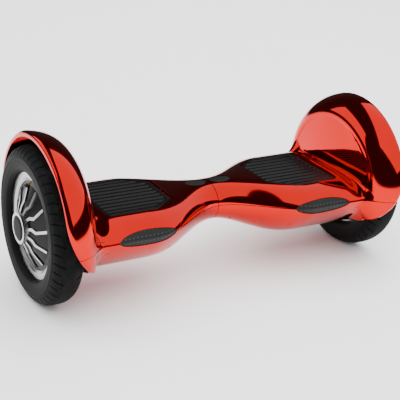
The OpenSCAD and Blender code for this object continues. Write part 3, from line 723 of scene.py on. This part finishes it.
def footPad():
    outline = padOutline(0)
    hd = pad["halfDepth"] - 0.001
    pitch = 2 * (pad["halfDepth"] - pad["border"]) / pad["ribs"]
    def place(u, v):
        y = -hd * math.cos(math.pi * v)
        low, high = rowSpan(outline, y)
        x = mix(low, high, 0.5 - 0.5 * math.cos(math.pi * u))
        d = edgeDistance(outline, Vector((x, y)))
        inside = smoothStep((d - 6) / 4) * smoothStep((hd - pad["border"] + 1 - abs(y)) / 1.5)
        phase = abs(((y / pitch) + 0.5) % 1 - 0.5) * 2
        valley = smoothStep((phase - 0.42) / 0.3)
        crown = 0.35 * (1 - phase ** 2)
        groove = 0.7 * math.exp(-((d - 4.5) / 0.6) ** 2)
        fall = max(pad["edgeRound"] - d, 0)
        lip = pad["edgeRound"] - math.sqrt(max(pad["edgeRound"] ** 2 - fall ** 2, 0))
        z = pad["topZ"] - lip - groove - inside * (0.35 + valley * pad["ribDrop"] - crown)
        return (x, y, z)
    top = gridSurface("padTop", 70, 230, place)
    def skirt():
        bpy.ops.mesh.select_all(action="DESELECT")
        bpy.ops.mesh.select_non_manifold(extend=False)
        bpy.ops.mesh.extrude_region_move(TRANSFORM_OT_translate={"value": (0, 0, -5 * mm)})
        bpy.ops.transform.resize(value=(1, 1, 0), center_override=(0, 0, pad["baseZ"] * mm))
        bpy.ops.mesh.edge_face_add()
    inEdit(top, skirt)
    pegs = []
    for dx in (-pad["pegX"], pad["pegX"]):
        for dy in (-pad["pegY"], pad["pegY"]):
            deep = pad["baseZ"] - pad["pegLow"] - 0.05
            x = (pad["inX"] + pad["outX"]) / 2 + dx
            bpy.ops.object.select_all(action="DESELECT")
            bpy.ops.mesh.primitive_cylinder_add(
                vertices=32, radius=pad["pegR"] * mm, depth=deep * mm,
                location=(x * mm, dy * mm, (pad["pegLow"] + deep / 2) * mm))
            bpy.ops.object.transform_apply(location=True, rotation=True, scale=True)
            pegs.append(bpy.context.object)
    joinPieces(top, *pegs)
    faceOutwards(top)
    smoothShade(top, 75)
    return top


# Lamps and windows

lamp = {"x": 165, "length": 103, "height": 25, "gap": 0.45, "inset": 0.4, "thick": 2.4}
glass = {"x": 23.5, "length": 39, "depth": 26, "gap": 0.45, "inset": 0.3, "thick": 2.4}


def disc(name, place, thick):
    made = gridSurface(name, 14, 96, place, flip=True)
    inEdit(made, lambda: bpy.ops.mesh.remove_doubles(threshold=0.00001))
    applyModifier(made, "SOLIDIFY", thickness=thick * mm, offset=-1, use_rim=True)
    smoothShade(made, 40)
    return made


def lampLens():
    a, b = lamp["length"] / 2 - lamp["gap"], lamp["height"] / 2 - lamp["gap"]
    def place(u, v):
        x = lamp["x"] + a * u * math.cos(math.tau * v)
        z = body["axleZ"] + b * u * math.sin(math.tau * v)
        return (x, frontY(x, z, lamp["inset"]), z)
    return disc("lampLens", place, lamp["thick"])


def neckWindow():
    a, b = glass["length"] / 2 - glass["gap"], glass["depth"] / 2 - glass["gap"]
    def place(u, v):
        x, y = glass["x"] + a * u * math.cos(math.tau * v), b * u * math.sin(math.tau * v)
        return (x, y, topZ(x, y, glass["inset"]))
    return disc("neckWindow", place, glass["thick"])


# Shells

def lampCutter():
    outline = ellipse(lamp["x"], body["axleZ"], lamp["length"] / 2, lamp["height"] / 2)
    return prism("lampCutter", outline, -150, -60, 1)


def upperShell():
    shell = shellSheet("upperShell", True, 120)
    wellLow, wellHigh = pad["seatZ"] - pad["wellFloor"], pad["seatZ"] + pad["wellTop"]
    combine(shell, prism("well", padOutline(pad["wellWall"]), wellLow, wellHigh, 2), "UNION")
    combine(shell, prism("pocket", padOutline(pad["gap"]), pad["seatZ"], pad["seatZ"] + 30, 2))
    opening = ellipse(glass["x"], 0, glass["length"] / 2, glass["depth"] / 2)
    combine(shell, prism("windowCutter", opening, 140, 175, 2))
    combine(shell, lampCutter())
    joinPieces(shell, bulkhead("upperBulkhead", True))
    smoothShade(shell, 32)
    return shell


ports = {  # name: place along X, radius of the hole, radius of the boss round it
    "button": (148.5, 9.4, 13), "socket": (192.5, 10.05, 14), "pivot": (174.5, 1.55, 6)}
bosses = {"y": 8, "low": 61.5, "high": 69.9, "holeLow": 50, "holeHigh": 80}
pockets = {"r": 2.6, "depth": 1.5, "reach": 16, "places": [(28, -33), (65, -52), (115, -84)]}


def lowerShell(withPorts):
    shell = shellSheet("lowerShell", False, 120)
    for x, y in pockets["places"]:
        for s in (-1, 1):
            z = belowZ(x, y)
            outline = ellipse(x, s * y, pockets["r"], pockets["r"], 20)
            combine(shell, prism("pocket", outline, z - pockets["reach"], z + pockets["depth"], 2))
    if withPorts:
        for x, hole, r in ports.values():
            outline = ellipse(x, bosses["y"], r, r)
            combine(shell, prism("portBoss", outline, bosses["low"], bosses["high"], 2), "UNION")
        for x, r, outer in ports.values():
            outline = ellipse(x, bosses["y"], r, r)
            combine(shell, prism("port", outline, bosses["holeLow"], bosses["holeHigh"], 2))
    combine(shell, lampCutter())
    joinPieces(shell, bulkhead("lowerBulkhead", False))
    smoothShade(shell, 32)
    return shell


def belowZ(x, y):
    n, m = curve(x, False)
    return body["axleZ"] - drop(x) * (1 - (abs(y) / halfDepth(x)) ** n) ** m


made = {"upper_shell": upperShell(), "lamp_lens": lampLens(), "window": neckWindow(), "foot_pad": footPad()}
print("shell, lens, window and pad modelled")


# Thin dark plate in the gap between the halves, round the pivot ring

seal = {"inset": 0.8, "clearance": 0.3, "thick": 0.8}


def neckSeal():
    low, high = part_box("pivot_ring")
    hole = (high.z - low.z) / 2 / mm + seal["clearance"]
    def place(u, v):
        angle = 360 * v if v <= 0.5 else 360 * v - 360
        front = angle if abs(angle) <= 90 else math.copysign(180 - abs(angle), angle)
        p = sectionPoint(body["splitGap"] / 2, front, v <= 0.5)
        out = Vector((0, p.y if abs(angle) <= 90 else -p.y, p.z - body["axleZ"]))
        reach = mix(hole, out.length - seal["inset"], u)
        q = out.normalized() * reach
        return (0, q.y, q.z + body["axleZ"])
    plate = gridSurface("neckSeal", 3, 96, place)
    applyModifier(plate, "SOLIDIFY", thickness=seal["thick"] * mm, offset=0, use_rim=True)
    faceOutwards(plate)
    return plate


finishPiece(neckSeal(), "left_half", [], materials["black_plastic"])

# Tyres

tyre = {
    "r": 127, "rimR": 84.5, "width": 52, "beadZ": 12.8, "seatR": 78.05, "steps": 960, "pitches": 48,
    "crownRows": 58, "sideRows": 10, "grooveDepth": 2.2, "grooveWidth": 1.15,
    "cutStarts": (9, 15), "cutEnd": 25.4, "cutFade": 1.5, "slantFrom": 17, "slant": 0.42,
    "rimGap": 0.8, "heelGap": 3.7, "heelWidth": 5, "middleShare": 0.45, "crownPower": 0.75,
    "insideGap": (7, 5.5), "insidePower": 0.9,
    "treadR": 108, "treadFade": 3, "stepR": 106, "stepHeight": 0.7, "stepRise": 0.8, "stepEndR": 112,
    "ridgeR": 91, "ridgeHeight": 0.8, "ridgeWidth": 1.5, "centreR": 100,
}


def tyreProfile():
    midR = mix(tyre["rimR"], tyre["r"], tyre["middleShare"])
    crownH, half = tyre["r"] - midR, tyre["width"] / 2
    def shaped(value, power):
        return math.copysign(abs(value) ** power, value)
    crown, power = [], tyre["crownPower"]
    for i in range(241):
        a = math.pi * i / 240
        z = half * shaped(math.cos(a), power)
        crown.append(Vector((midR + crownH * math.sin(a) ** power, z)))
    side, lowR = [], tyre["rimR"] + tyre["rimGap"]
    for i in range(1, 61):
        a = math.pi / 2 * i / 60
        z = mix(tyre["beadZ"] + tyre["heelGap"], half, math.cos(a))
        side.append(Vector((mix(midR, lowR, math.sin(a)), z)))
    seat, bead = tyre["seatR"], tyre["beadZ"]
    inner, power = [], tyre["insidePower"]
    crownGap, sideGap = tyre["insideGap"]
    for i in range(25):
        a = math.pi * i / 24
        z = (half - sideGap) * shaped(math.cos(a), power)
        inner.append(Vector((midR + (crownH - crownGap) * math.sin(a) ** power, z)))
    mirrored = [Vector((p.x, -p.y)) for p in side]
    beadLine = [Vector((lowR, bead)), Vector((seat, bead)), Vector((seat, bead - tyre["heelWidth"]))]
    return {
        "side": side[::-1], "crown": crown, "far": mirrored, "bead": beadLine,
        "farBead": [Vector((p.x, -p.y)) for p in beadLine], "inner": inner}


# Slanted cuts over both shoulders, alternately long and short
def treadDepth(turn, z):
    reach = abs(z)
    side = 1 if z > 0 else -1
    count = turn * tyre["pitches"] + (0.5 if side > 0 else 0)
    start = tyre["cutStarts"][0] if int(count + 0.0001) % 2 else tyre["cutStarts"][1]
    offset = (count % 1 - 0.5) * math.tau * tyre["r"] / tyre["pitches"]
    offset -= (reach - tyre["slantFrom"]) * tyre["slant"]
    if abs(offset) > tyre["grooveWidth"]:
        return 0
    fade = tyre["cutFade"]
    ends = smoothStep((reach - start) / fade) * smoothStep((tyre["cutEnd"] - reach) / fade)
    return tyre["grooveDepth"] * ends * math.sqrt(1 - (offset / tyre["grooveWidth"]) ** 2)


def tyreRing():
    parts = tyreProfile()
    flank = resample([p.to_3d() for p in parts["side"]], tyre["sideRows"])
    crown = resample([p.to_3d() for p in parts["crown"]], tyre["crownRows"])
    farFlank = resample([p.to_3d() for p in parts["far"]], tyre["sideRows"])
    outer = flank[:-1] + crown + farFlank
    lastOuter = len(outer) - 1
    back = [p.to_3d() for p in parts["farBead"] + parts["inner"][::-2] + parts["bead"][::-1]]
    ring = outer + back
    normals = []
    for i, p in enumerate(outer):
        along = outer[min(i + 1, lastOuter)] - outer[max(i - 1, 0)]
        normals.append(Vector((-along.y, along.x, 0)).normalized())
    steps, count = tyre["steps"], len(ring)
    def place(u, v):
        i, k = round(u * count) % count, round(v * steps)
        p = ring[i].copy()
        turn = (k % steps) / steps
        if i <= lastOuter:
            fade = tyre["treadFade"]
            lift = -treadDepth(turn, p.y) * smoothStep((p.x - tyre["treadR"]) / fade)
            stepUp = smoothStep((p.x - tyre["stepR"]) / tyre["stepRise"])
            lift += tyre["stepHeight"] * stepUp * smoothStep((tyre["stepEndR"] - p.x) / fade)
            lift += tyre["ridgeHeight"] * math.exp(-((p.x - tyre["ridgeR"]) / tyre["ridgeWidth"]) ** 2)
            outwards = normals[i].x * (p.x - tyre["centreR"]) + normals[i].y * p.y
            p += normals[i] * lift * math.copysign(1, outwards)
        angle = math.tau * turn
        return (p.y, p.x * math.sin(angle), p.x * math.cos(angle))
    made = gridSurface("tyreRing", count, steps, place)
    inEdit(made, lambda: bpy.ops.mesh.remove_doubles(threshold=0.00001))
    faceOutwards(made)
    made.data.transform(Matrix.Translation((298.5 * mm, 0, body["axleZ"] * mm)))
    smoothShade(made, 45)
    return made


made["tyre"] = tyreRing()
print("tyre modelled:", len(made["tyre"].data.polygons), "faces")

bodyOf = {"foot_pad": "pad", "tyre": "wheel"}
slotFor = {"upper_shell": "shell", "lamp_lens": "lens", "window": "lens", "foot_pad": "pad", "tyre": "tyre"}
for key, right in made.items():
    names = {s: s + "".join(word.title() for word in key.split("_")) for s in sides}
    right.name = names["right"]
    left = mirrorCopy(right, names["left"])
    slot = slotFor[key]
    for side, piece in (("left", left), ("right", right)):
        rides = side + "_" + bodyOf.get(key, "half")
        finishPiece(piece, rides, [side + "_" + key], materials[slot])
for side in sides:
    low = lowerShell(side == "right")
    low = mirrorCopy(low, "leftLowerShell") if side == "left" else low
    if side == "left":
        bpy.data.objects.remove(bpy.data.objects["lowerShell"])
    else:
        low.name = "rightLowerShell"
    finishPiece(low, side + "_half", [side + "_lower_shell"], materials["shell"])
print("both sides placed")


# Camera, floor and light

view = {
    "aim": (-12.34, 0, 123.6), "distance": 1754.1, "lens": 93.22,
    "azimuth": -30.72, "elevation": 22.01, "roll": 3.12}
a, e, roll = (math.radians(view[k]) for k in ("azimuth", "elevation", "roll"))
backward = Vector((math.sin(a) * math.cos(e), -math.cos(a) * math.cos(e), math.sin(e)))
rightward = (-backward).cross(Vector((0, 0, 1))).normalized()
upward = rightward.cross(-backward)
tiltRight = rightward * math.cos(roll) + upward * math.sin(roll)
tiltUp = upward * math.cos(roll) - rightward * math.sin(roll)
cameraData = bpy.data.cameras.new("camera")
cameraData.lens = view["lens"]
camera = bpy.data.objects.new("camera", cameraData)
bpy.context.collection.objects.link(camera)
turned = Matrix((tiltRight, tiltUp, backward)).transposed().to_4x4()
camera.matrix_world = Matrix.Translation((Vector(view["aim"]) + backward * view["distance"]) * mm) @ turned
bpy.context.scene.camera = camera

bpy.ops.object.select_all(action="DESELECT")
bpy.ops.mesh.primitive_plane_add(size=40, location=(0, 0, 0))
floor = bpy.context.object
floor.name = "floor"
paper = Recipe("paleFloor", Roughness=0.9)
paper.colour(paper.blend(paper.noise(3, 3), (0.86, 0.86, 0.86), (0.88, 0.88, 0.88)))
floor.data.materials.append(paper.material)
floor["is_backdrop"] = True

# Direction from the front (degrees, + to the right), height angle, distance, width, height, watts,
# and whether reflections show it
lights = {
    "rightBox": (60, 52, 3.0, 5.8, 4.0, 125, True),
    "leftBox": (-125, 34, 3.0, 3.0, 2.2, 36, True),
    "fillBox": (0, 88, 3.4, 7.0, 7.0, 560, False),
    "frontFill": (-30, 30, 3.4, 3.0, 2.0, 60, False),
    "backFill": (150, 30, 3.4, 3.0, 2.0, 60, False),
}
for name, (azimuth, height, distance, width, depth, power, seen) in lights.items():
    data = bpy.data.lights.new(name, "AREA")
    data.shape, data.size, data.size_y, data.energy = "RECTANGLE", width, depth, power
    light = bpy.data.objects.new(name, data)
    bpy.context.collection.objects.link(light)
    turn, climb = math.radians(azimuth), math.radians(height)
    towards = Vector((math.sin(turn) * math.cos(climb), -math.cos(turn) * math.cos(climb), math.sin(climb)))
    light.location = towards * distance + Vector((0, 0, 0.12))
    light.rotation_mode = "QUATERNION"
    light.rotation_quaternion = towards.to_track_quat("Z", "Y")
    light.visible_glossy = seen

world = bpy.data.worlds.new("studio")
bpy.context.scene.world = world
world.use_nodes = True
world.node_tree.nodes["Background"].inputs[0].default_value = (1, 1, 1, 1)
world.node_tree.nodes["Background"].inputs[1].default_value = 0.055
print("camera, floor and lights ready")

low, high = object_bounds()
